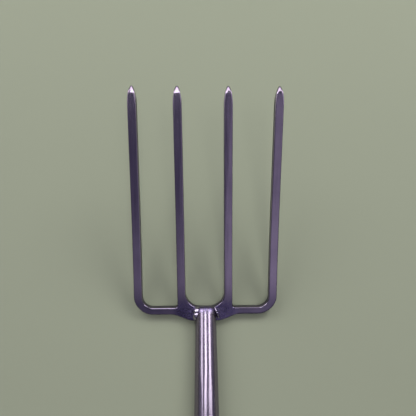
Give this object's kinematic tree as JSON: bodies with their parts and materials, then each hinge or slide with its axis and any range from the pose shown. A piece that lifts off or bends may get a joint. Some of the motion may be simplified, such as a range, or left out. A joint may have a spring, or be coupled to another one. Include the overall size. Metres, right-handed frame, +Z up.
{
  "type": "hay fork",
  "caption": "Hand fork with a dished head of square steel tines on a crossbar, a conical riveted socket and an ash shaft split at the end to hold a turned grip.",
  "frame": {"origin": "on the floor, under the middle of the fork's bounding box, with the fork lying face up", "axes": "+Y along the handle towards the tine tips, +X across the tines to the right, +Z up, out of the fork's front (its concave side)"},
  "size_m": [0.19, 1.0786, 0.1478],
  "materials": {
    "polished_steel": "polished, dark with a purple cast",
    "weld_metal": "ground and polished bead",
    "rivet_steel": "satin, hammered heads",
    "ash_wood": "oiled, worn by hand",
    "grip_wood": "turned and oiled, darkened by use"
  },
  "bodies": {
    "root": {"outer_tine_bar": "polished_steel", "inner_tine_left": "polished_steel", "inner_tine_right": "polished_steel", "socket": "polished_steel", "neck_weld_left": "weld_metal", "neck_weld_right": "weld_metal", "socket_rivet_upper": "rivet_steel", "socket_rivet_lower": "rivet_steel", "shaft": "ash_wood", "grip": "grip_wood", "grip_rivet": "rivet_steel", "grip_washer_left": "rivet_steel", "grip_washer_right": "rivet_steel", "throat_rivet": "rivet_steel", "throat_washer_left": "rivet_steel", "throat_washer_right": "rivet_steel"}
  },
  "joints": []
}
